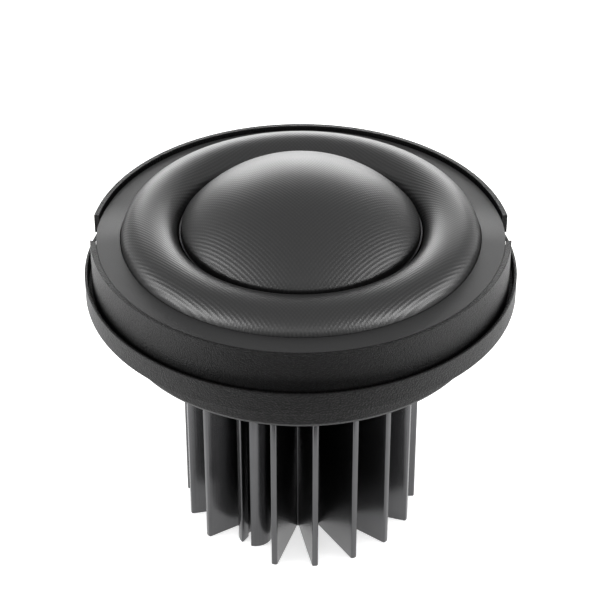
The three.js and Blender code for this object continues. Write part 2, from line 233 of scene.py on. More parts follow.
def linked(name: str, data: bpy.types.ID) -> Thing:
    """Puts a mesh, a curve, a light or a camera into the scene as an object.

    Args:
        name: the object's name.
        data: what it shows.

    Returns:
        The object.
    """
    thing = bpy.data.objects.new(name, data)
    bpy.context.scene.collection.objects.link(thing)
    return thing


def shaded(piece: Thing) -> Thing:
    """Shades a piece smooth, apart from its sharp edges.

    Args:
        piece: the piece.

    Returns:
        The same piece.
    """
    piece.data.shade_smooth()
    piece.data.set_sharp_from_angle(angle=math.radians(SHARP_ANGLE))
    return piece


def object_from(name: str, work: bmesh.types.BMesh) -> Thing:
    """Turns a closed working mesh in millimetres into an object in metres.

    Args:
        name: the object's name.
        work: the working mesh, which is freed.

    Returns:
        The object, with its faces pointing outwards.
    """
    bmesh.ops.scale(work, vec=(MM, MM, MM), verts=work.verts)
    bmesh.ops.recalc_face_normals(work, faces=work.faces)
    mesh = bpy.data.meshes.new(name)
    work.to_mesh(mesh)
    work.free()
    return shaded(linked(name, mesh))


def turned(name: str, outline: list[Point], segments: int, ends: Point | None = None) -> Thing:
    """Turns a closed outline about the axis.

    Args:
        name: the object's name.
        outline: radius and height of each point.
        segments: how many segments the sweep has.
        ends: the first and last turn of a part sweep in degrees, or None for a whole turn.

    Returns:
        The turned solid.
    """
    work = bmesh.new()
    whole = ends is None
    first, last = ends or (0, 360)
    stations = segments if whole else segments + 1
    axis = {}
    rows = []
    for station in range(stations):
        turn = first + (last - first) * station / segments
        row = []
        for index, (radius, height) in enumerate(outline):
            if radius < MM and index in axis:
                row.append(axis[index])
                continue
            row.append(work.verts.new((*polar(turn, max(radius, 0)), height)))
            if radius < MM:
                axis[index] = row[-1]
        rows.append(row)
    size = len(outline)
    for station in range(segments):
        here, there = rows[station], rows[(station + 1) % stations]
        for index in range(size):
            after = (index + 1) % size
            corners = list(dict.fromkeys((here[index], there[index], there[after], here[after])))
            if len(corners) > 2:
                work.faces.new(corners)
    if not whole:
        work.faces.new(rows[0])
        work.faces.new(rows[-1])
    return object_from(name, work)


def posts(outline: list[Point], segments: int, turns: Point, distance: float) -> list[Thing]:
    """Makes the same turned solid at two places round the axis.

    Args:
        outline: its outline about its own axis.
        segments: how many segments it has.
        turns: where the two stand, in degrees from the front.
        distance: how far they are from the tweeter's axis.

    Returns:
        The solids.
    """
    solids = []
    for turn in turns:
        solid = turned("post", outline, segments)
        x, y = polar(turn, distance)
        solid.data.transform(Matrix.Translation((x * MM, y * MM, 0)))
        solids.append(solid)
    return solids


def side_cutters(outline: list[Point], turns: Point) -> list[Thing]:
    """Makes a part ring on each side of the tweeter, to cut an opening there.

    Args:
        outline: the part ring's outline.
        turns: its first and last turn on the right, in degrees from the front.

    Returns:
        The right and the left part ring.
    """
    first, last = turns
    sides = ((first, last), (-last, -first))
    return [turned("cutter", outline, CUTTER_SEGMENTS, ends) for ends in sides]


def block(name: str, across: Point, deep: Point, high: Point) -> Thing:
    """Makes a box from its limits along x, y and z.

    Args:
        name: the object's name.
        across: limits along x.
        deep: limits along y.
        high: limits along z.

    Returns:
        The box.
    """
    work = bmesh.new()
    bmesh.ops.create_cube(work, size=1)
    lows = (across[0], deep[0], high[0])
    highs = (across[1], deep[1], high[1])
    for vert in work.verts:
        for axis in range(3):
            share = vert.co[axis] + 1 / 2
            vert.co[axis] = lows[axis] + share * (highs[axis] - lows[axis])
    return object_from(name, work)


def extruded(name: str, outline: list[Point], across: Point) -> Thing:
    """Extrudes an outline of y and z along x.

    Args:
        name: the object's name.
        outline: y and z of each point.
        across: limits along x.

    Returns:
        The extruded solid.
    """
    work = bmesh.new()
    sides = []
    for x in across:
        sides.append([work.verts.new((x, y, z)) for y, z in outline])
    for side in sides:
        work.faces.new(side)
    for index in range(len(outline)):
        after = (index + 1) % len(outline)
        near, far = sides
        work.faces.new((near[index], near[after], far[after], far[index]))
    return object_from(name, work)


def plain(piece: Thing) -> Thing:
    """Replaces a piece's mesh by what its modifiers make of it.

    Args:
        piece: an object with live modifiers.

    Returns:
        The same object with a plain mesh and no modifiers.
    """
    bpy.context.view_layer.update()
    graph = bpy.context.evaluated_depsgraph_get()
    mesh = bpy.data.meshes.new_from_object(piece.evaluated_get(graph))
    piece.modifiers.clear()
    piece.data = mesh
    return piece


def combined(piece: Thing, tools: list[Thing], how: Cut) -> Thing:
    """Adds solids to a piece or cuts them out of it, and removes them from the scene.

    Args:
        piece: the solid that is changed.
        tools: the solids that are added or cut out.
        how: whether they are added or removed.

    Returns:
        The changed piece.
    """
    for tool in tools:
        modifier = piece.modifiers.new("combine", "BOOLEAN")
        modifier.operation = how.value
        modifier.solver = "EXACT"
        modifier.object = tool
    plain(piece)
    for tool in tools:
        bpy.data.objects.remove(tool)
    return shaded(piece)


def bevelled(piece: Thing, width: float, angle: float = 50.0) -> Thing:
    """Rounds a piece's sharp edges.

    Args:
        piece: the solid.
        width: how far the rounding reaches from the edge.
        angle: the smallest angle in degrees between faces that counts as sharp.

    Returns:
        The same piece with rounded edges and a plain mesh.
    """
    modifier = piece.modifiers.new("edges", "BEVEL")
    modifier.limit_method = "ANGLE"
    modifier.angle_limit = math.radians(angle)
    modifier.width = width * MM
    modifier.segments = 2
    return shaded(plain(piece))


# Node trees


class NodePen:
    """Writes nodes and their links into a node tree."""

    def __init__(self, tree: bpy.types.NodeTree) -> None:
        """Empties the tree and keeps it."""
        self.tree = tree
        tree.nodes.clear()

    def add(self, kind: str, inputs: dict | None = None, **settings: object) -> bpy.types.Node:
        """Adds one node.

        Args:
            kind: Blender's name of the node's type.
            inputs: what goes into its sockets, by name or number: a value or another socket.
            **settings: its other properties.

        Returns:
            The node.
        """
        node = self.tree.nodes.new(kind)
        for name, value in settings.items():
            setattr(node, name, value)
        for key, value in (inputs or {}).items():
            socket = node.inputs[key]
            if isinstance(value, Socket):
                self.tree.links.new(value, socket)
            else:
                socket.default_value = value
        return node

    def math(self, operation: str, *values: object) -> Socket:
        """Adds a Math node that takes numbers or sockets, and gives its result."""
        node = self.add("ShaderNodeMath", dict(enumerate(values)), operation=operation)
        return node.outputs[0]

    def mix(self, factor: object, a: object, b: object) -> Socket:
        """Mixes two values by a factor."""
        inputs = {"Factor": factor, "A": a, "B": b}
        return self.add("ShaderNodeMix", inputs, data_type="FLOAT").outputs[0]

    def stretched(self, value: object, low: float, high: float) -> Socket:
        """Maps a value from 0..1 onto another range, from low to high."""
        ends = {"Value": value, "To Min": low, "To Max": high}
        return self.add("ShaderNodeMapRange", ends).outputs["Result"]


class GeometryTree(NodePen):
    """A geometry node tree with named inputs, which ends in plain meshes and their finish."""

    def __init__(self, name: str) -> None:
        """Starts an empty tree.

        Args:
            name: the tree's name.
        """
        super().__init__(bpy.data.node_groups.new(name, "GeometryNodeTree"))
        sockets = self.tree.interface
        sockets.new_socket("Geometry", in_out="OUTPUT", socket_type="NodeSocketGeometry")
        self.entry = self.add("NodeGroupInput")
        self.values: dict[str, object] = {}

    def size(self, name: str, kind: str, value: object) -> Socket:
        """Adds a named input.

        Args:
            name: the input's name.
            kind: its kind, as in NodeSocketKIND.
            value: what the modifier sets it to.

        Returns:
            The socket that carries it in the tree.
        """
        kind = f"NodeSocket{kind}"
        socket = self.tree.interface.new_socket(name, in_out="INPUT", socket_type=kind)
        self.values[socket.identifier] = value
        return self.entry.outputs[name]

    def length(self, name: str, millimetres: float) -> Socket:
        """Adds a named input for a length."""
        return self.size(name, "Float", millimetres * MM)

    def vector(self, x: object = 0.0, y: object = 0.0, z: object = 0.0) -> Socket:
        """Puts three numbers or sockets together as a vector."""
        return self.add("ShaderNodeCombineXYZ", {"X": x, "Y": y, "Z": z}).outputs[0]

    def spun(self, vector: Socket, angle: object) -> Socket:
        """Turns a vector about the axis."""
        inputs = {"Vector": vector, "Angle": angle}
        return self.add("ShaderNodeVectorRotate", inputs, rotation_type="Z_AXIS").outputs[0]

    def source(self, shape: Socket) -> Socket:
        """Reads the geometry of an object input."""
        return self.add("GeometryNodeObjectInfo", {"Object": shape}).outputs["Geometry"]

    def moved(self, geometry: Socket, by: Socket) -> Socket:
        """Moves geometry by a vector."""
        return self.add("GeometryNodeTransform", {0: geometry, "Translation": by}).outputs[0]

    def joined(self, parts: list[Socket]) -> Socket:
        """Joins several parts.

        Args:
            parts: their geometry.

        Returns:
            All of it.
        """
        whole = self.add("GeometryNodeJoinGeometry")
        for part in parts:
            self.tree.links.new(part, whole.inputs[0])
        return whole.outputs[0]

    def circle(self, corners: int, radius: Socket) -> Socket:
        """Makes a circle to sweep."""
        inputs = {"Resolution": corners, "Radius": radius}
        return self.add("GeometryNodeCurvePrimitiveCircle", inputs).outputs["Curve"]

    def swept(self, path: Socket, section: Socket) -> Socket:
        """Sweeps a section along a path and closes its ends."""
        inputs = {0: path, 1: section, "Fill Caps": True}
        return self.add("GeometryNodeCurveToMesh", inputs).outputs[0]

    def helix(self, radius: Socket, height: Socket, pitch: object, corners: int) -> Socket:
        """Winds a line about the axis, up from the origin.

        Args:
            radius: its distance from the axis.
            height: how high it climbs.
            pitch: how high it climbs in one turn.
            corners: how many points one turn has.

        Returns:
            The line.
        """
        return self.add("GeometryNodeCurveSpiral", {
            "Resolution": corners,
            "Rotations": self.math("DIVIDE", height, pitch),
            "Start Radius": radius,
            "End Radius": radius,
            "Height": height,
        }).outputs[0]

    def made(self, name: str, geometry: Socket, finish: "Finish") -> Thing:
        """Ends the tree, runs it once and gives its result as a plain object.

        Args:
            name: the object's name.
            geometry: the tree's last geometry.
            finish: the finish that the tree sets.

        Returns:
            The object.
        """
        surface = self.size("Finish", "Material", finish.material())
        real = self.add("GeometryNodeRealizeInstances", {0: geometry})
        dressed = self.add("GeometryNodeSetMaterial", {0: real.outputs[0], "Material": surface})
        self.add("NodeGroupOutput", {0: dressed.outputs[0]})
        piece = linked(name, bpy.data.meshes.new(name))
        modifier = piece.modifiers.new("pattern", "NODES")
        modifier.node_group = self.tree
        for identifier, value in self.values.items():
            modifier[identifier] = value
        return shaded(plain(piece))


# Finishes


@dataclass(frozen=True)
class Finish:
    """A surface finish: two colours, two roughnesses and a fine relief.

    Its colour and roughness run between their two values with the relief's height and with slow
    blotches: the darker colour in the relief's low spots is painted shade in its hollows, and the
    blotches are random tone. The relief's grain and depth and the blotches' size are in millimetres.
    """

    name: str
    low: Colour
    high: Colour
    slot: Slot | None = None
    roughness: Point = (0.45, 0.6)
    metallic: float = 0.0
    specular: float = 0.5
    sheen: float = 0.0
    sheen_roughness: float = 0.5
    grain: float = 0.2
    depth: float = 0.02
    blotch: float = 3.0
    blotch_share: float = 0.35
    blotch_detail: float = 3.0
    ramp: Point = (0.15, 0.85)

    def place(self, pen: NodePen, turn: float = 0.0) -> Socket:
        """Gives the place on the piece in millimetres.

        Args:
            pen: the material's pen.
            turn: how far the pattern is turned about the axis, in radians.

        Returns:
            The place as a vector.
        """
        coordinates = pen.add("ShaderNodeTexCoord").outputs["Object"]
        scale = (1 / MM, 1 / MM, 1 / MM)
        inputs = {"Vector": coordinates, "Scale": scale, "Rotation": (0, 0, turn)}
        return pen.add("ShaderNodeMapping", inputs).outputs[0]

    def noise(self, pen: NodePen, place: Socket, size: float, detail: float = 2.0) -> Socket:
        """Gives smooth noise with lumps of a size, and with finer ones added, about 0..1."""
        inputs = {"Vector": place, "Scale": 1 / size, "Detail": detail}
        return pen.add("ShaderNodeTexNoise", inputs).outputs[0]

    def relief(self, pen: NodePen) -> Socket:
        """Gives the relief's height, 0..1; the plain one is fine noise."""
        return self.noise(pen, self.place(pen), self.grain)

    def material(self) -> bpy.types.Material:
        """Makes the material, once.

        Returns:
            The material.
        """
        found = bpy.data.materials.get(self.name)
        if found:
            return found
        material = bpy.data.materials.new(self.name)
        material.use_nodes = True
        pen = NodePen(material.node_tree)
        height = self.relief(pen)
        blotches = self.noise(pen, self.place(pen), self.blotch, self.blotch_detail)
        share = pen.mix(self.blotch_share, height, blotches)
        # The colour ramp darkens the relief's low spots as painted shade in the hollows, mixed with blotches
        # of random tone.
        colour = pen.add("ShaderNodeValToRGB", {"Fac": share})
        stops = zip(colour.color_ramp.elements, self.ramp, (self.low, self.high))
        for stop, position, level in stops:
            stop.position = position
            stop.color = (*level, 1)
        bump = pen.add("ShaderNodeBump", {"Height": height, "Distance": self.depth * MM})
        shader = pen.add("ShaderNodeBsdfPrincipled", {
            "Base Color": colour.outputs[0],
            "Roughness": pen.stretched(share, *self.roughness),
            "Normal": bump.outputs[0],
            "Metallic": self.metallic,
            "Specular IOR Level": self.specular,
            "Sheen Weight": self.sheen,
            "Sheen Roughness": self.sheen_roughness,
        })
        pen.add("ShaderNodeOutputMaterial", {"Surface": shader.outputs[0]})
        return material


@dataclass(frozen=True)
class WovenCloth(Finish):
    """Coated cloth in plain weave, with its threads at a slant to the front."""

    slant: float = 45.0
    pitch: float = 0.32
    crossing: float = 0.3
    unevenness: float = 0.22

    def relief(self, pen: NodePen) -> Socket:
        """Gives the height of the threads.

        The forming stretches the cloth, so the threads that run round the axis stand out.

        Args:
            pen: the material's pen.

        Returns:
            The height, 0..1.
        """
        place = self.place(pen, math.radians(self.slant))
        flat = pen.add("ShaderNodeSeparateXYZ", {0: place})
        ridges, squares = [], []
        for across in flat.outputs[:2]:
            wave = pen.math("COSINE", pen.math("MULTIPLY", across, math.tau / self.pitch))
            ridges.append(pen.math("MULTIPLY_ADD", wave, 0.5, 0.5))
            squares.append(pen.math("MULTIPLY", across, across))
        share = pen.math("DIVIDE", squares[1], pen.math("ADD", *squares))
        standing = pen.mix(share, *ridges)
        woven = pen.mix(self.crossing, standing, pen.math("MULTIPLY", *ridges))
        return pen.mix(self.unevenness, woven, self.noise(pen, place, self.pitch / 2))


@dataclass(frozen=True)
class Grained(Finish):
    """A spark-grained moulding or a fine-textured coat."""

    grain: float = 0.16
    heights: Point = (0.4, 1.2)

    def relief(self, pen: NodePen) -> Socket:
        """Gives the height of the rounded grains.

        Args:
            pen: the material's pen.

        Returns:
            The height.
        """
        place = self.place(pen)
        cells = pen.add("ShaderNodeTexVoronoi", {"Vector": place, "Scale": 1 / self.grain})
        fine = self.noise(pen, place, self.grain, self.blotch_detail)
        bumps = pen.math("SUBTRACT", 1.0, cells.outputs["Distance"])
        return pen.math("MULTIPLY", bumps, pen.stretched(fine, *self.heights))


@dataclass(frozen=True)
class Drawn(Finish):
    """Metal with die lines along the axis."""

    line: float = 0.09
    length: float = 14.0

    def relief(self, pen: NodePen) -> Socket:
        """Gives the height of long fine lines.

        Args:
            pen: the material's pen.

        Returns:
            The height, 0..1.
        """
        scale = (1, 1, self.line / self.length)
        lines = pen.add("ShaderNodeMapping", {"Vector": self.place(pen), "Scale": scale})
        return self.noise(pen, lines.outputs[0], self.line, self.blotch_detail)


@dataclass(frozen=True)
class Lathed(Finish):
    """Metal with turning marks in rings round the axis."""

    feed: float = 0.12
    wander: float = 0.4

    def relief(self, pen: NodePen) -> Socket:
        """Gives the height of the turning marks, a little uneven.

        Args:
            pen: the material's pen.

        Returns:
            The height, 0..1.
        """
        place = self.place(pen)
        rings = pen.add("ShaderNodeTexWave", {
            "Vector": place,
            "Scale": 1 / self.feed,
            "Distortion": self.wander,
            "Detail": 1.0,
        }, wave_type="RINGS", rings_direction="Z")
        return pen.mix(self.wander, rings.outputs["Fac"], self.noise(pen, place, self.feed))


@dataclass(frozen=True)
class Fibrous(Finish):
    """Pressed felt: fibres that lie every way."""

    fibre: float = 0.25
    bundle: float = 1.0
    flatness: float = 0.6
    detail: float = 4.0

    def relief(self, pen: NodePen) -> Socket:
        """Gives the height of tangled fibres.

        Args:
            pen: the material's pen.

        Returns:
            The height, 0..1.
        """
        place = self.place(pen)
        thin = self.fibre / self.bundle
        ways = []
        for scale in ((1, thin, self.flatness), (thin, 1, self.flatness)):
            way = pen.add("ShaderNodeMapping", {"Vector": place, "Scale": scale}).outputs[0]
            ways.append(self.noise(pen, way, self.fibre, self.detail))
        return pen.mix(self.noise(pen, place, self.bundle, 1.0), *ways)


DOME_CLOTH = WovenCloth(
    "coated_weave", (0.002, 0.002, 0.0021), (0.01, 0.01, 0.0103), Slot.CLOTH,
    roughness=(0.44, 0.34), specular=0.7, depth=0.021, blotch=6, blotch_share=0.15,
)
ANODISED = Drawn(
    "black_anodised_extrusion", (0.064, 0.064, 0.066), (0.118, 0.118, 0.121), Slot.ANODISED,
    roughness=(0.2, 0.3), metallic=1.0, depth=0.006, blotch=4,
)
CAST_COAT = Grained(
    "fine_textured_coat", (0.001, 0.001, 0.0011), (0.006, 0.006, 0.0062), Slot.CASTING,
    roughness=(0.52, 0.38), specular=0.24, depth=0.07, grain=0.2, blotch=5, blotch_share=0.2,
)
GRAINED_PLASTIC = Grained(
    "spark_grained_moulding", (0.001, 0.001, 0.0011), (0.006, 0.006, 0.0062), Slot.GRAINED,
    roughness=(0.52, 0.38), specular=0.24, depth=0.065, grain=0.18, blotch=5, blotch_share=0.2,
)
SATIN_PLASTIC = Grained(
    "satin_moulding", (0.008, 0.008, 0.0082), (0.015, 0.015, 0.0154), Slot.PLASTIC,
    roughness=(0.54, 0.46), specular=0.58, depth=0.006, grain=0.1, blotch=6,
)
ZINC = Lathed(
    "bright_zinc", (0.42, 0.42, 0.41), (0.62, 0.62, 0.6), Slot.ZINC,
    roughness=(0.28, 0.42), metallic=1.0, depth=0.006, feed=0.1,
)
TURNED_STEEL = Lathed(
    "nickelled_soft_iron", (0.4, 0.4, 0.39), (0.58, 0.58, 0.56), Slot.MOTOR_STEEL,
    roughness=(0.26, 0.4), metallic=1.0, depth=0.008, feed=0.16,
)
NICKEL = Finish(
    "bright_nickel", (0.55, 0.54, 0.5), (0.7, 0.69, 0.66), Slot.NICKEL,
    roughness=(0.14, 0.24), metallic=1.0, depth=0.003,
)
COPPER_SHEET = Finish(
    "drawn_copper_sheet", (0.5, 0.24, 0.13), (0.72, 0.38, 0.24), Slot.COPPER,
    roughness=(0.24, 0.4), metallic=1.0, depth=0.004,
)
ENAMELLED_WIRE = Finish(
    "enamelled_wire", (0.42, 0.16, 0.07), (0.66, 0.3, 0.15), Slot.COPPER,
    roughness=(0.18, 0.3), metallic=0.9, depth=0.003,
)
FELT = Fibrous(
    "pressed_felt", (0.05, 0.05, 0.048), (0.17, 0.17, 0.16), Slot.FELT,
    roughness=(0.95, 0.8), specular=0.2, sheen=0.4, depth=0.12,
)
FOIL = Drawn(
    "wound_foil", (0.03, 0.03, 0.031), (0.06, 0.06, 0.062), Slot.FOIL,
    roughness=(0.25, 0.38), metallic=1.0, depth=0.004, line=0.2, length=3,
)
FOAM = Grained(
    "closed_cell_foam", (0.02, 0.02, 0.02), (0.08, 0.08, 0.08), Slot.FOAM,
    roughness=(0.95, 0.85), specular=0.3, depth=0.05, grain=0.12,
)
SILICONE = Grained(
    "filled_silicone", (0.24, 0.26, 0.28), (0.4, 0.42, 0.45), Slot.PAD,
    roughness=(0.7, 0.6), specular=0.4, depth=0.01, grain=0.08,
)
TINNED_BRASS = Drawn(
    "tinned_brass", (0.24, 0.2, 0.11), (0.4, 0.35, 0.22), Slot.BRASS,
    roughness=(0.26, 0.4), metallic=1.0, depth=0.004, line=0.1, length=4,
)


def dress(piece: Thing, finish: Finish, nodes: list[str], body: Body | None = Body.HOUSING) -> None:
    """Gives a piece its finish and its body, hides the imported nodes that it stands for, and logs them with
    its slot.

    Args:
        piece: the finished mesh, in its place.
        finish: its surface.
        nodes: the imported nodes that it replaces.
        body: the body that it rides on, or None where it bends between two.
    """
    piece.data.materials.clear()
    piece.data.materials.append(finish.material())
    if body:
        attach(piece, body.value)
    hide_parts(*nodes)
    faces = len(piece.data.polygons)
    LOG.info("%s: %d faces, %s, for %s", piece.name, faces, finish.slot.value, ", ".join(nodes))


def bend_outwards(piece: Thing, moving: float, still: float) -> None:
    """Lets a piece stretch between the diaphragm inside and the housing outside.

    Args:
        piece: the mesh, with no parent.
        moving: the distance from the axis up to which it follows the diaphragm.
        still: the distance from which it stays with the housing.
    """
    start, end = (0, -still * MM, 0), (0, -moving * MM, 0)
    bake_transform(piece, Body.HOUSING.value, Body.DIAPHRAGM.value, start=start, end=end)
    weights = piece.data.attributes["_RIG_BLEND"].data
    for vertex, weight in zip(piece.data.vertices, weights):
        weight.value = eased(vertex.co.xy.length / MM, still, moving)


def ring_piece(node: str, name: str, inner: float, rounding: float, finish: Finish) -> None:
    """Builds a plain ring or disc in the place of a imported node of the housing.

    Args:
        node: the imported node.
        name: the piece's name.
        inner: its inner radius.
        rounding: the radius of its edges.
        finish: its surface.
    """
    low, high = limits(node)
    outline = filleted(ring(inner, high.x, low.z, high.z), rounding)
    dress(turned(name, outline, HIDDEN_SEGMENTS), finish, [node])


# Heat sink

PORT_TURNS = (-35.0, 145.0)
PORT_DISTANCE = 10.1
PORT_HOLE = 1.0


@dataclass
class HeatSink:
    """The star-shaped extrusion, its two screws and the pad above it."""

    fins: int = 18
    first_turn: float = 7.0
    reach: float = 14.14
    tip_half: float = 0.38
    corner: float = 0.24
    root_radius: float = 6.4
    root_half: float = 1.09
    taper: float = 0.09
    root_fillet: float = 0.12
    root_steps: int = 3
    tip_ends: Point = (185.0, 270.0)
    tip_steps: int = 6
    port_fins: tuple[int, int] = (16, 7)
    port_radius: float = 2.05
    port_steps: int = 9
    bore: float = 0.88
    slot_half: float = 0.56
    slot_ease: float = 3.0
    edge: float = 0.05
    edge_angle: float = 70.0
    fin_corners: int = 56
    shank: float = 0.7
    point: float = 1.2
    thread_radius: float = 0.84
    thread_pitch: float = 0.6
    thread_corners: int = 28
    thread_sides: int = 4
    thread_end: float = 1.8
    head_radius: float = 1.8
    head_depth: float = 1.0
    head_edge: float = 0.15
    head_rounding: float = 0.06
    recess: Point = (1.0, 0.175)
    recess_depth: float = 0.6
    pad_rounding: float = 0.04
    pad_corners: int = 32

    def half_at(self, distance: float) -> float:
        """Gives half a fin's thickness at a distance from the axis."""
        return self.root_half + (self.root_radius - distance) * self.taper

    def root_arc(self) -> list[Point]:
        """Lists the points of the fillet at a fin's left root, from its bottom outwards.

        Returns:
            The points, from the middle of the valley to the fin's side.
        """
        valley = math.pi / self.fins
        slope = math.atan(self.taper)
        opening = valley + slope
        apex = (self.root_half + self.root_radius * self.taper) / (
            math.tan(valley) + self.taper
        ) / math.cos(valley)
        out = Vector(polar(-math.degrees(valley), 1))
        centre = out * (apex + self.root_fillet / math.sin(opening))
        points = []
        for step in range(self.root_steps + 1):
            angle = math.degrees(math.pi / 2 - opening) * step / self.root_steps
            spoke = Vector(polar(180 - math.degrees(valley) - angle, self.root_fillet))
            points.append(tuple(centre + spoke))
        return points

    def mirrored(self, left: list[Point]) -> list[Point]:
        """Adds the mirrored right half to a fin's left half, without doubling shared points."""
        right = [(-x, y) for x, y in reversed(left) if abs(x) > MM]
        return left + right[:-1]

    def plain_fin(self) -> list[Point]:
        """Lists a plain fin's outline, pointing to the front.

        Returns:
            The outline, from its left root round to its right one.
        """
        tip = (self.corner - self.tip_half, self.corner - self.reach)
        corner = arc(tip, (self.corner, self.corner), self.tip_ends, self.tip_steps)
        return self.mirrored(self.root_arc() + corner)

    def port_fin(self) -> list[Point]:
        """Lists the outline of a fin that ends in a C-shaped screw port.

        Returns:
            The outline, from its left root round to its right one.
        """
        centre = (0.0, -PORT_DISTANCE)
        near = PORT_DISTANCE - math.sqrt(
            self.port_radius ** 2 - self.half_at(PORT_DISTANCE - self.port_radius) ** 2
        )
        start = 180 - math.degrees(math.acos(self.half_at(near) / self.port_radius))
        mouth = 270 - math.degrees(math.asin(self.slot_half / self.port_radius))
        inside = 270 - math.degrees(math.asin(self.slot_half / self.bore))
        wall, ends = (self.port_radius, self.port_radius), (start, mouth - self.slot_ease)
        outside = arc(centre, wall, ends, self.port_steps)
        lip = [(-self.slot_half, outside[-1][1] + self.slot_half / 4)]
        hole = arc(centre, (self.bore, self.bore), (inside, 90), self.port_steps)
        return self.mirrored(self.root_arc() + outside + lip + hole)

    def evened(self, points: list[Point]) -> list[Point]:
        """Splits the longest steps of an outline until it has the number of corners wanted.

        Args:
            points: a fin's outline.

        Returns:
            The outline with extra points on its straight sides.
        """
        points = list(points)
        while len(points) < self.fin_corners:
            gaps = [math.dist(a, b) for a, b in zip(points, points[1:])]
            index = gaps.index(max(gaps))
            a, b = points[index], points[index + 1]
            points.insert(index + 1, ((a[0] + b[0]) / 2, (a[1] + b[1]) / 2))
        return points

    def outline_object(self, name: str, points: list[Point]) -> Thing:
        """Keeps a fin's outline as loose points for the tree to read.

        Args:
            name: the object's name.
            points: the outline.

        Returns:
            An object with one vertex for each point.
        """
        mesh = bpy.data.meshes.new(name)
        mesh.from_pydata([(x * MM, y * MM, 0) for x, y in self.evened(points)], [], [])
        return linked(name, mesh)

    def sink(self) -> None:
        """Builds the extrusion: fin outlines repeated round the axis, filled and drawn up."""
        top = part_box("heat_sink")[1].z
        plain_fin = self.outline_object("plain_fin_outline", self.plain_fin())
        port_fin = self.outline_object("port_fin_outline", self.port_fin())
        tree = GeometryTree("fin_star")
        fins = tree.size("Fins", "Int", self.fins)
        corners = tree.size("Corners per fin", "Int", self.fin_corners)
        first = tree.size("First turn", "Float", math.radians(self.first_turn))
        height = tree.size("Height", "Float", top)
        ports = [tree.size(f"Port fin {i}", "Int", fin) for i, fin in enumerate(self.port_fins)]
        shapes = [
            tree.size("Plain fin", "Object", plain_fin),
            tree.size("Port fin shape", "Object", port_fin),
        ]
        count = tree.math("MULTIPLY", fins, corners)
        circle = {"Vertices": count, "Radius": 1.0}
        star = tree.add("GeometryNodeMeshCircle", circle, fill_type="NGON").outputs[0]
        index = tree.add("GeometryNodeInputIndex").outputs[0]
        sector = tree.math("FLOOR", tree.math("DIVIDE", index, corners))
        corner = tree.math("MODULO", index, corners)
        places = []
        for shape in shapes:
            place = tree.add("GeometryNodeInputPosition").outputs[0]
            inputs = {"Geometry": tree.source(shape), "Index": corner}
            domain = {"data_type": "FLOAT_VECTOR", "domain": "POINT"}
            sample = tree.add("GeometryNodeSampleIndex", inputs, **domain)
            tree.tree.links.new(place, sample.inputs["Value"])
            places.append(sample.outputs["Value"])
        hits = [tree.math("COMPARE", sector, port, 1 / 2) for port in ports]
        choice = {"Switch": tree.math("MAXIMUM", *hits), "False": places[0], "True": places[1]}
        chosen = tree.add("GeometryNodeSwitch", choice, input_type="VECTOR").outputs[0]
        step = tree.math("DIVIDE", math.tau, fins)
        angle = tree.math("ADD", first, tree.math("MULTIPLY", sector, step))
        outline = {"Geometry": star, "Position": tree.spun(chosen, angle)}
        placed = tree.add("GeometryNodeSetPosition", outline).outputs[0]
        drawn = tree.add("GeometryNodeExtrudeMesh", {
            "Mesh": placed,
            "Offset": (0, 0, 1),
            "Offset Scale": height,
            "Individual": False,
        }, mode="FACES")
        foot = tree.add("GeometryNodeFlipFaces", {0: placed})
        whole = tree.joined([foot.outputs[0], drawn.outputs[0]])
        welded = tree.add("GeometryNodeMergeByDistance", {0: whole, "Distance": MM * MM})
        piece = tree.made("fin_extrusion", welded.outputs[0], ANODISED)
        for helper in (plain_fin, port_fin):
            bpy.data.objects.remove(helper)
        bevelled(piece, self.edge, self.edge_angle)
        dress(piece, ANODISED, ["heat_sink"])

    def screw_shape(self) -> Thing:
        """Makes one countersunk screw on the axis, with its cross recess.

        Returns:
            The screw, without its thread.
        """
        low, high = (corner.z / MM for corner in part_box("heat_sink_screw_front"))
        outline = [
            (0, low),
            (self.shank / 3, low),
            (self.shank, low + self.point),
            (self.shank, high - self.head_depth),
            (self.head_radius, high - self.head_edge),
            (self.head_radius, high),
            (0, high),
        ]
        body = turned("screw_shape", filleted(outline, self.head_rounding), SMALL_SEGMENTS)
        reach, half = self.recess
        depths = (high - self.recess_depth, high + SPARE)
        cross = [
            block("across", (-reach, reach), (-half, half), depths),
            block("along", (-half, half), (-reach, reach), depths),
        ]
        return combined(body, cross, Cut.REMOVE)

    def screws(self) -> None:
        """Builds both screws: one shape with a rolled thread, set at the two ports."""
        shape = self.screw_shape()
        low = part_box("heat_sink_screw_front")[0].z / MM
        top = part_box("heat_sink")[1].z / MM
        tree = GeometryTree("port_screws")
        body = tree.size("Screw", "Object", shape)
        pitch = tree.length("Pitch", self.thread_pitch)
        start = tree.length("Thread start", low + self.point)
        length = tree.length("Thread length", top - low - self.thread_end)
        radius = tree.length("Thread radius", self.shank)
        crest = tree.length("Crest", self.thread_radius - self.shank)
        distance = tree.length("Distance", -PORT_DISTANCE)
        turns = [
            tree.size(f"Turn {i}", "Float", math.radians(turn))
            for i, turn in enumerate(PORT_TURNS)
        ]
        spiral = tree.helix(radius, length, pitch, self.thread_corners)
        thread = tree.swept(spiral, tree.circle(self.thread_sides, crest))
        lifted = tree.moved(thread, tree.vector(z=start))
        screw = tree.joined([tree.source(body), lifted])
        out = tree.vector(y=distance)
        both = tree.joined([tree.moved(screw, tree.spun(out, turn)) for turn in turns])
        piece = tree.made("port_screws", both, ZINC)
        bpy.data.objects.remove(shape)
        nodes = ["heat_sink_screw_front", "heat_sink_screw_rear"]
        dress(piece, ZINC, nodes)

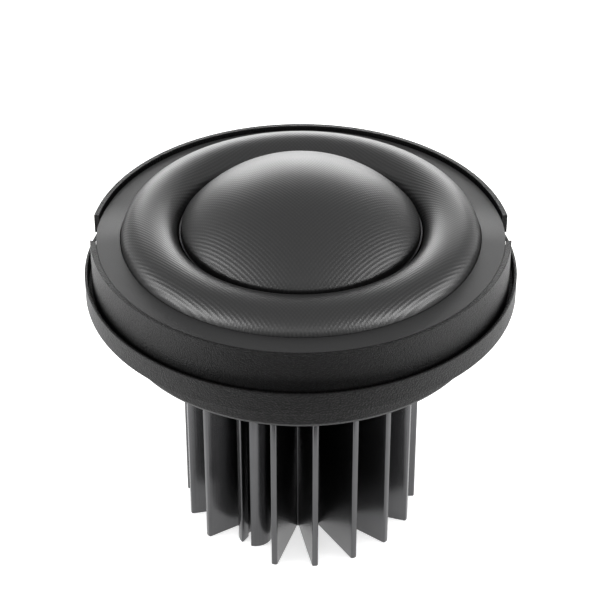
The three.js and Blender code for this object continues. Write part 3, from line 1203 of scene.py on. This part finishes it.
    def pad(self) -> None:
        """Builds the thermal pad with its two screw holes."""
        low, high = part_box("thermal_pad")
        outline = ring(0, high.x / MM, low.z / MM, high.z / MM)
        piece = turned("thermal_sheet", filleted(outline, self.pad_rounding), HIDDEN_SEGMENTS)
        hole = ring(0, PORT_HOLE, 0, TALL)
        holes = posts(hole, self.pad_corners, PORT_TURNS, PORT_DISTANCE)
        combined(piece, holes, Cut.REMOVE)
        dress(piece, SILICONE, ["thermal_pad"])

    def build(self) -> None:
        """Builds the whole sub-assembly."""
        self.sink()
        self.screws()
        self.pad()


# Basket and terminals


@dataclass
class Basket:
    """The cast cup with its flange, its thin lip and the collar that the diaphragm sits on."""

    radius: float = 21.81
    floor_top: float = 28.5
    chamber: float = 19.8
    collar: float = 22.3
    flange_under: float = 31.56
    groove_floor: float = 32.6
    lip_top: float = 34.34
    lip_inner: float = 24.64
    rounding: float = 0.16
    chamfer: Point = (0.27, 0.45)
    chamfer_rounding: float = 0.05
    flange_rounding: float = 0.03
    window_turns: Point = (98.0, 107.0)
    window_heights: Point = (32.9, 34.08)
    screw_mouth: float = 2.1
    seat_heights: Point = (27.3, 28.15)
    plug_half: float = 4.2
    plug_heights: Point = (29.0, 31.51)

    def outline(self) -> list[Point]:
        """Lists the cup's outline.

        Returns:
            The outline, from the middle of its underside.
        """
        low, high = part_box("basket")
        bottom, top, rim = low.z / MM, high.z / MM, high.x / MM
        return [
            (0, bottom),
            (self.radius - self.chamfer[0], bottom),
            (self.radius, bottom + self.chamfer[1]),
            (self.radius, self.flange_under),
            (rim, self.flange_under),
            (rim, self.lip_top),
            (self.lip_inner, self.lip_top),
            (self.lip_inner, self.groove_floor),
            (self.collar, self.groove_floor),
            (self.collar, top),
            (self.chamber, top),
            (self.chamber, self.floor_top),
            (0, self.floor_top),
        ]

    def openings(self) -> list[Thing]:
        """Makes the solids that cut the lip's windows, the screw holes and the plug hole.

        Returns:
            The solids.
        """
        lip = ring(self.lip_inner - SPARE, self.lip_inner + 2 * SPARE, *self.window_heights)
        seat_low, seat_high = self.seat_heights
        seat = [
            (0, 0),
            (PORT_HOLE, 0),
            (PORT_HOLE, seat_low),
            (self.screw_mouth, seat_high),
            (self.screw_mouth, TALL),
            (0, TALL),
        ]
        wide = (-self.plug_half, self.plug_half)
        plug = block("plug_hole", wide, (self.chamber - SPARE, TALL), self.plug_heights)
        windows = side_cutters(lip, self.window_turns)
        return [*windows, *posts(seat, SMALL_SEGMENTS, PORT_TURNS, PORT_DISTANCE), plug]

    def build(self) -> None:
        """Builds the basket."""
        chamfer, flange = self.chamfer_rounding, self.flange_rounding
        outline = filleted(self.outline(), self.rounding, {1: chamfer, 2: chamfer, 4: flange})
        piece = turned("basket_casting", outline, RING_SEGMENTS)
        combined(piece, self.openings(), Cut.REMOVE)
        dress(piece, CAST_COAT, ["basket"])


@dataclass
class Terminals:
    """The insulating block at the back and its two bent contact strips."""

    strip_x: float = 2.2
    strip_half: float = 1.0
    thickness: float = 0.5
    level: float = 30.05
    gap: float = 0.3
    outer_half: float = 4.6
    plug_half: float = 3.9
    plug_heights: Point = (29.3, 31.2)
    plug_inner: float = 20.0
    wall: float = 22.11
    wall_depth: float = 1.5
    wall_corners: int = 192
    edge: float = 0.14
    bend: float = 0.3
    strip_edge: float = 0.06

    def block(self) -> None:
        """Builds the block: an outer body against the cup and a plug through its wall."""
        low, high = limits("terminal_block")
        wide = (-self.outer_half, self.outer_half)
        narrow = (-self.plug_half, self.plug_half)
        deep = (self.wall - self.wall_depth, high.y)
        piece = block("terminal_housing", wide, deep, (low.z, high.z))
        cup = turned("cup", ring(0, self.wall, 0, TALL), self.wall_corners)
        combined(piece, [cup], Cut.REMOVE)
        plug = block("plug", narrow, (self.plug_inner, self.wall + SPARE), self.plug_heights)
        combined(piece, [plug], Cut.ADD)
        slots = []
        for side in (-1, 1):
            half = self.strip_half + self.gap
            across = (side * self.strip_x - half, side * self.strip_x + half)
            high_range = (self.level - self.gap, self.level + self.thickness + self.gap)
            slots.append(block("slot", across, (self.plug_inner - SPARE, TALL), high_range))
        combined(piece, slots, Cut.REMOVE)
        bevelled(piece, self.edge)
        dress(piece, SATIN_PLASTIC, ["terminal_block"])

    def strip(self, node: str) -> None:
        """Builds one strip, bent up inside the chamber and down outside.

        Args:
            node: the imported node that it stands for.
        """
        low, high = limits(node)
        t = self.thickness
        outline = [
            (low.y, self.level),
            (high.y - t, self.level),
            (high.y - t, low.z),
            (high.y, low.z),
            (high.y, self.level + t),
            (low.y + t, self.level + t),
            (low.y + t, high.z),
            (low.y, high.z),
        ]
        piece = extruded(f"{node}_strip", filleted(outline, self.bend), (low.x, high.x))
        bevelled(piece, self.strip_edge)
        dress(piece, TINNED_BRASS, [node])

    def build(self) -> None:
        """Builds the block and both strips."""
        self.block()
        self.strip("terminal_plus")
        self.strip("terminal_minus")


# Motor


@dataclass
class Motor:
    """The magnet system inside the cup, with its damping felts."""

    yoke_bore: float = 14.95
    yoke_floor: float = 30.7
    cap_inner: float = 12.93
    cap_sheet: float = 0.25
    felt_inner: float = 17.75
    yoke_rounding: float = 0.4
    magnet_rounding: float = 0.25
    pole_rounding: float = 0.15
    cap_rounding: float = 0.1
    dome_felt_rounding: float = 0.5
    ring_felt_rounding: float = 0.2

    def yoke(self) -> None:
        """Builds the soft-iron cup."""
        low, high = limits("yoke_cup")
        outline = [
            (0, low.z),
            (high.x, low.z),
            (high.x, high.z),
            (self.yoke_bore, high.z),
            (self.yoke_bore, self.yoke_floor),
            (0, self.yoke_floor),
        ]
        outline = filleted(outline, self.yoke_rounding)
        piece = turned("yoke_iron", outline, HIDDEN_SEGMENTS)
        dress(piece, TURNED_STEEL, ["yoke_cup"])

    def cap(self) -> None:
        """Builds the thin copper cap on the pole plate."""
        low, high = limits("shorting_cap")
        outline = [
            (0, high.z - self.cap_sheet),
            (self.cap_inner, high.z - self.cap_sheet),
            (self.cap_inner, low.z),
            (high.x, low.z),
            (high.x, high.z),
            (0, high.z),
        ]
        outline = filleted(outline, self.cap_rounding)
        piece = turned("copper_cap", outline, HIDDEN_SEGMENTS)
        dress(piece, COPPER_SHEET, ["shorting_cap"])

    def build(self) -> None:
        """Builds the motor from the cup up."""
        self.yoke()
        ring_piece("magnet", "magnet_disc", 0, self.magnet_rounding, NICKEL)
        ring_piece("pole_plate", "pole_iron", 0, self.pole_rounding, TURNED_STEEL)
        self.cap()
        ring_piece("pole_felt", "dome_damping_felt", 0, self.dome_felt_rounding, FELT)
        sizes = (self.felt_inner, self.ring_felt_rounding)
        ring_piece("chamber_felt", "chamber_felt_ring", *sizes, FELT)


# Diaphragm


@dataclass
class Diaphragm:
    """The formed cloth dome and surround, the former and its winding, and the lead-outs."""

    sphere: float = 17.34
    centre: float = 29.25
    dome_edge: float = 13.68
    dome_wall: float = 0.3
    dome_fold: Point = (0.03, 0.14)
    fold_turn: float = 0.6
    outer_steps: int = 44
    inner_steps: int = 30
    roll_centre: Point = (17.33, 38.18)
    roll_radii: Point = (3.36, 3.02)
    roll_wall: float = 0.28
    roll_collar: Point = (14.02, 14.3)
    roll_collar_bottom: float = 38.4
    former_radii: Point = (13.72, 13.98)
    former_rounding: float = 0.06
    wire: float = 0.1
    wire_corners: int = 6
    wire_pitch: float = 2.04
    turn_corners: int = 72
    layers: Point = (14.12, 14.33)
    lead_x: float = 2.2
    lead_route: tuple[Point, ...] = (
        (14.53, 37.45), (15.63, 37.85), (16.93, 37.5), (18.05, 36.75), (18.95, 36.5),
    )
    strand: float = 0.085
    strand_corners: int = 8
    strands: int = 3
    lead_turns: float = 11.0
    lead_points: int = 90

    def dome(self) -> None:
        """Builds the dome: a spherical cap of formed cloth with its glued collar."""
        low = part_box("dome")[0].z / MM
        inner_sphere, inner_edge = self.sphere - self.dome_wall, self.dome_edge - self.dome_wall
        base = math.degrees(math.acos(self.dome_edge / self.sphere))
        inner_base = math.degrees(math.acos(inner_edge / inner_sphere))
        middle = (0.0, self.centre)
        ends = (base + self.fold_turn, 90)
        outside = arc(middle, (self.sphere, self.sphere), ends, self.outer_steps)
        inside = arc(middle, (inner_sphere, inner_sphere), (90, inner_base), self.inner_steps)
        edge = self.centre + self.sphere * math.sin(math.radians(base))
        near, far = self.dome_fold
        outline = [
            *inside,
            (inner_edge, low),
            (self.dome_edge, low),
            (self.dome_edge, edge - far),
            (self.dome_edge - near, edge - near),
            *outside,
        ]
        piece = turned("dome_cloth", outline, RING_SEGMENTS)
        dress(piece, DOME_CLOTH, ["dome"], Body.DIAPHRAGM)

    def surround(self) -> None:
        """Builds the half-roll, which bends between the former and the faceplate."""
        across, height = self.roll_centre
        width, rise = self.roll_radii
        inner_width, inner_rise = width - self.roll_wall, rise - self.roll_wall
        collar_in, collar_out = self.roll_collar
        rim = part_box("surround")[1].x / MM
        start = 180 - math.degrees(math.acos((across - collar_in) / width))
        inner_start = 180 - math.degrees(math.acos((across - collar_out) / inner_width))
        inner_radii = (inner_width, inner_rise)
        outside = arc(self.roll_centre, self.roll_radii, (0, start), self.outer_steps)
        inside = arc(self.roll_centre, inner_radii, (inner_start, 0), self.inner_steps)
        inside[-1] = (inside[-1][0], height - self.roll_wall)
        outline = [
            (rim, height - self.roll_wall),
            (rim, height),
            *outside,
            (collar_in, self.roll_collar_bottom),
            (collar_out, self.roll_collar_bottom),
            *inside,
        ]
        piece = turned("surround_cloth", outline, RING_SEGMENTS)
        dress(piece, DOME_CLOTH, ["surround"], None)
        bend_outwards(piece, collar_in, across + width)

    def former(self) -> None:
        """Builds the foil sleeve that carries the winding."""
        low, high = limits("voice_coil_former")
        outline = filleted(ring(*self.former_radii, low.z, high.z), self.former_rounding)
        piece = turned("former_sleeve", outline, RING_SEGMENTS)
        dress(piece, FOIL, ["voice_coil_former"], Body.DIAPHRAGM)

    def winding(self) -> None:
        """Builds the two layers of enamelled wire, each one long helix."""
        low, high = limits("voice_coil")
        tree = GeometryTree("coil_winding")
        wire = tree.length("Wire radius", self.wire)
        bottom = tree.length("Bottom", low.z + self.wire)
        length = tree.length("Length", high.z - low.z - 2 * self.wire)
        radii = [
            tree.length(f"Layer {i} radius", radius) for i, radius in enumerate(self.layers)
        ]
        pitch = tree.math("MULTIPLY", wire, self.wire_pitch)
        section = tree.circle(self.wire_corners, wire)
        lift = tree.vector(z=bottom)
        layers = []
        for radius in radii:
            helix = tree.helix(radius, length, pitch, self.turn_corners)
            layers.append(tree.moved(tree.swept(helix, section), lift))
        piece = tree.made("coil_winding", tree.joined(layers), ENAMELLED_WIRE)
        dress(piece, ENAMELLED_WIRE, ["voice_coil"], Body.DIAPHRAGM)

    def route(self, side: int) -> Thing:
        """Makes the smooth line that a lead-out follows.

        Args:
            side: 1 for the plus side, -1 for the minus side.

        Returns:
            The curve.
        """
        curve = bpy.data.curves.new("route", "CURVE")
        curve.dimensions = "3D"
        spline = curve.splines.new("BEZIER")
        spline.bezier_points.add(len(self.lead_route) - 1)
        for point, (y, z) in zip(spline.bezier_points, self.lead_route):
            point.co = (side * self.lead_x * MM, y * MM, z * MM)
            point.handle_left_type = "AUTO"
            point.handle_right_type = "AUTO"
        return linked("route", curve)

    def lead(self, node: str, side: int) -> None:
        """Builds one lead-out: three strands twisted along its route.

        Args:
            node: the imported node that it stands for.
            side: 1 for the plus side, -1 for the minus side.
        """
        line = self.route(side)
        tree = GeometryTree(f"{node}_strands")
        route = tree.size("Route", "Object", line)
        strand = tree.length("Strand radius", self.strand)
        twist = tree.size("Twist", "Float", math.tau * self.lead_turns / self.strands)
        steps = {"Curve": tree.source(route), "Count": self.lead_points}
        even = tree.add("GeometryNodeResampleCurve", steps)
        share = tree.add("GeometryNodeSplineParameter").outputs["Factor"]
        tilt = tree.math("MULTIPLY", share, twist)
        tilted = tree.add("GeometryNodeSetCurveTilt", {"Curve": even.outputs[0], "Tilt": tilt})
        circle = tree.circle(self.strand_corners, strand)
        bundle = []
        for index in range(self.strands):
            around = math.tau * index / self.strands
            shift = tree.vector(
                tree.math("MULTIPLY", strand, math.cos(around)),
                tree.math("MULTIPLY", strand, math.sin(around)),
            )
            bundle.append(tree.moved(circle, shift))
        swept = tree.swept(tilted.outputs[0], tree.joined(bundle))
        piece = tree.made(f"{node}_strands", swept, COPPER_SHEET)
        bpy.data.objects.remove(line)
        dress(piece, COPPER_SHEET, [node], None)
        bend_outwards(piece, self.lead_route[0][0], self.lead_route[-1][0])

    def build(self) -> None:
        """Builds the moving parts and what ties them to the housing."""
        self.dome()
        self.surround()
        self.former()
        self.winding()
        self.lead("lead_plus", 1)
        self.lead("lead_minus", -1)


# Front rings


@dataclass
class FrontRings:
    """The rings that hold the surround and trim the front."""

    gasket_inner: float = 19.9
    ring_inner: float = 18.6
    held_rounding: float = 0.05
    land_gap: float = 0.03
    land_rounding: float = 0.025
    dip: float = 0.45
    dip_turns: Point = (84.0, 108.0)
    ledge: float = 38.21
    ledge_radius: float = 21.6
    step: float = 36.73
    face_inner: float = 22.4
    land_inner: float = 20.72
    trim_inner: float = 23.45
    skirt_radius: float = 24.12
    land_meeting: float = 38.77
    skirt_end: float = 84.5
    base_top: float = 34.3
    rim_inner: float = 23.66
    rim_top: float = 38.75
    rim_start: float = 98.1
    clip_turns: Point = (97.0, 118.0)
    clip_top: float = 36.37
    rounding: float = 0.06
    meeting_rounding: float = 0.03
    rim_rounding: float = 0.08
    rim_root: float = 0.2

    def held_rings(self) -> None:
        """Builds the gasket and the ring that the surround is glued to."""
        edge = self.held_rounding
        ring_piece("diaphragm_gasket", "foam_gasket", self.gasket_inner, edge, FOAM)
        ring_piece("diaphragm_ring", "surround_ring", self.ring_inner, edge, SATIN_PLASTIC)

    def faceplate(self) -> None:
        """Builds the ring with the land, which lies a little lower behind the rear rim."""
        low, high = limits("faceplate")
        outer = self.trim_inner - self.land_gap
        outline = [
            (self.land_inner, self.ledge),
            (self.ledge_radius, self.ledge),
            (self.ledge_radius, self.step),
            (self.face_inner, self.step),
            (self.face_inner, low.z),
            (outer, low.z),
            (outer, high.z),
            (self.land_inner, high.z),
        ]
        piece = turned("land_ring", filleted(outline, self.land_rounding), RING_SEGMENTS)
        for vertex in piece.data.vertices:
            if vertex.co.z / MM > (self.ledge + high.z) / 2:
                turn = math.degrees(abs(math.atan2(vertex.co.x, -vertex.co.y)))
                vertex.co.z -= self.dip * MM * eased(turn, *self.dip_turns)
        dress(piece, SATIN_PLASTIC, ["faceplate"])

    def trim(self) -> None:
        """Builds the trim: a low ring, the front skirt and the thin rim round the back."""
        low, high = limits("trim_ring")
        base = ring(self.trim_inner, self.skirt_radius, low.z, self.base_top)
        skirt = [
            (self.trim_inner, low.z),
            (self.skirt_radius, low.z),
            (self.skirt_radius, high.z),
            (self.trim_inner, self.land_meeting),
        ]
        skirt = filleted(skirt, self.rounding, {3: self.meeting_rounding})
        skirt_ends = (-self.skirt_end, self.skirt_end)
        rim = ring(self.rim_inner, high.y, self.base_top - self.rim_root, self.rim_top)
        rim = filleted(rim, self.rim_rounding)
        rim_ends = (self.rim_start, 360 - self.rim_start)
        slot = ring(self.rim_inner - SPARE, high.y + SPARE, self.base_top, self.clip_top)
        piece = turned("trim_moulding", filleted(base, self.rounding), RING_SEGMENTS)
        front = turned("skirt", skirt, SIDE_SEGMENTS, skirt_ends)
        back = turned("rim", rim, SIDE_SEGMENTS, rim_ends)
        combined(back, side_cutters(slot, self.clip_turns), Cut.REMOVE)
        combined(piece, [front, back], Cut.ADD)
        dress(piece, GRAINED_PLASTIC, ["trim_ring"])

    def build(self) -> None:
        """Builds the rings from the inside out."""
        self.held_rings()
        self.faceplate()
        self.trim()


# Studio


def bearing(turn: float, elevation: float, distance: float) -> Vector:
    """Gives a place from its turn and its elevation in degrees and its distance in metres."""
    x, y = polar(turn, distance * math.cos(math.radians(elevation)))
    return Vector((x, y, distance * math.sin(math.radians(elevation))))


def aimed(thing: Thing, place: Vector, target: Vector) -> Thing:
    """Puts a light or the camera in its place and points it at a target.

    Args:
        thing: the light or the camera.
        place: where it stands.
        target: the point that it faces.

    Returns:
        The same thing.
    """
    thing.location = place
    thing.rotation_euler = (target - place).to_track_quat("-Z", "Y").to_euler()
    return thing


@dataclass(frozen=True)
class Softbox:
    """A square studio light that points at the tweeter."""

    name: str
    turn: float
    elevation: float
    distance: float
    size: Point
    power: float
    use: Use

    def build(self, target: Vector) -> None:
        """Places the light.

        Args:
            target: the point that it faces.
        """
        light = bpy.data.lights.new(self.name, "AREA")
        light.shape = "RECTANGLE"
        light.size, light.size_y = self.size
        light.energy = self.power
        place = bearing(self.turn, self.elevation, self.distance)
        lamp = aimed(linked(self.name, light), place, target)
        lamp.visible_camera = False
        lamp.visible_diffuse = self.use is Use.FILL
        lamp.visible_glossy = self.use is Use.GLOSS


def pair(name: str, turn: float, *others: object) -> list[Softbox]:
    """Gives the same softbox on the left and on the right."""
    sides = (("left", -turn), ("right", turn))
    return [Softbox(f"{side}_{name}", at, *others) for side, at in sides]


PAPER = Finish(
    "pale_paper", (0.86, 0.86, 0.86), (0.9, 0.9, 0.9),
    roughness=(0.9, 0.95), specular=0.1, depth=0.0, blotch=40,
)
BLACK_CARD = Finish(
    "black_card", (0.0, 0.0, 0.0), (0.002, 0.002, 0.002),
    roughness=(0.9, 0.95), specular=0.0, depth=0.0, blotch=40,
)


@dataclass
class Studio:
    """The pale lit floor, the soft lights and the camera; distances are in metres."""

    lens: float = 130.51
    sensor: float = 36.0
    clip: Point = (0.01, 20.0)
    elevation: float = 35.146
    distance: float = 0.25518
    sideways: float = -0.0000915
    target_height: float = 0.02909
    floor_half: float = 3.0
    floor_glow: float = 0.6
    world: float = 0.66
    flag_distance: float = 0.052
    flag_size: Point = (0.06, 0.044)
    softboxes: tuple[Softbox, ...] = (
        Softbox("top_fill", 180, 75, 0.8, (1.0, 0.8), 4.0, Use.FILL),
        Softbox("front_fill", 0, 20, 0.7, (0.8, 0.3), 2.0, Use.FILL),
        *pair("fill", 80, 20, 0.7, (0.5, 0.3), 3.0, Use.FILL),
        Softbox("back_softbox", 180, 14, 0.8, (0.7, 0.3), 4.0, Use.GLOSS),
        Softbox("front_softbox", 0, 14, 0.5, (0.5, 0.24), 0.6, Use.GLOSS),
        *pair("softbox", 90, 17, 0.8, (0.4, 0.25), 1.5, Use.GLOSS),
        *pair("strip", 58, 17, 0.8, (0.6, 0.28), 4.0, Use.GLOSS),
    )

    def camera(self) -> None:
        """Places the camera in front, looking down at the tweeter."""
        data = bpy.data.cameras.new("camera")
        data.lens = self.lens
        data.sensor_width = self.sensor
        data.clip_start, data.clip_end = self.clip
        target = Vector((self.sideways, 0, self.target_height))
        place = target + bearing(0, self.elevation, self.distance)
        bpy.context.scene.camera = aimed(linked("camera", data), place, target)

    def sheet(self, name: str, corners: list[tuple], finish: Finish) -> Thing:
        """Makes a flat piece of the studio.

        Args:
            name: the object's name.
            corners: its four corners.
            finish: its surface.

        Returns:
            The sheet.
        """
        mesh = bpy.data.meshes.new(name)
        mesh.from_pydata(corners, [], [(0, 1, 2, 3)])
        mesh.materials.append(finish.material())
        sheet = linked(name, mesh)
        return sheet

    def floor(self) -> None:
        """Lays the pale floor that the fins stand on, a light table with its own soft glow."""
        half = self.floor_half
        corners = [(-half, -half, 0), (half, -half, 0), (half, half, 0), (-half, half, 0)]
        self.sheet("floor", corners, PAPER)
        shader = PAPER.material().node_tree.nodes["Principled BSDF"]
        shader.inputs["Emission Color"].default_value = (1, 1, 1, 1)
        shader.inputs["Emission Strength"].default_value = self.floor_glow

    def flag(self) -> None:
        """Stands a low black card in front, which only darkens what the walls reflect there."""
        half, height = self.flag_size
        outline = [(-half, 0), (half, 0), (half, height), (-half, height)]
        card = self.sheet("flag", [(x, -self.flag_distance, z) for x, z in outline], BLACK_CARD)
        card.visible_camera = False
        card.visible_diffuse = False
        card.visible_shadow = False

    def light(self) -> None:
        """Sets the softboxes and the even light from all round."""
        target = Vector((0, 0, self.target_height))
        for softbox in self.softboxes:
            softbox.build(target)
        world = bpy.data.worlds.new("studio")
        world.use_nodes = True
        pen = NodePen(world.node_tree)
        glow = pen.add("ShaderNodeBackground", {"Color": (1, 1, 1, 1), "Strength": self.world})
        pen.add("ShaderNodeOutputWorld", {"Surface": glow.outputs[0]})
        bpy.context.scene.world = world

    def build(self) -> None:
        """Sets up the studio."""
        bpy.context.scene.view_settings.view_transform = "Standard"
        self.camera()
        self.floor()
        self.flag()
        self.light()


def main() -> None:
    """Builds the studio and then each sub-assembly, from the foot up."""
    logging.basicConfig(level=logging.INFO, format="%(message)s")
    Studio().build()
    for assembly in (HeatSink(), Basket(), Terminals(), Motor(), Diaphragm(), FrontRings()):
        assembly.build()
        LOG.info("%s is finished", type(assembly).__name__)


if __name__ == "__main__":
    main()
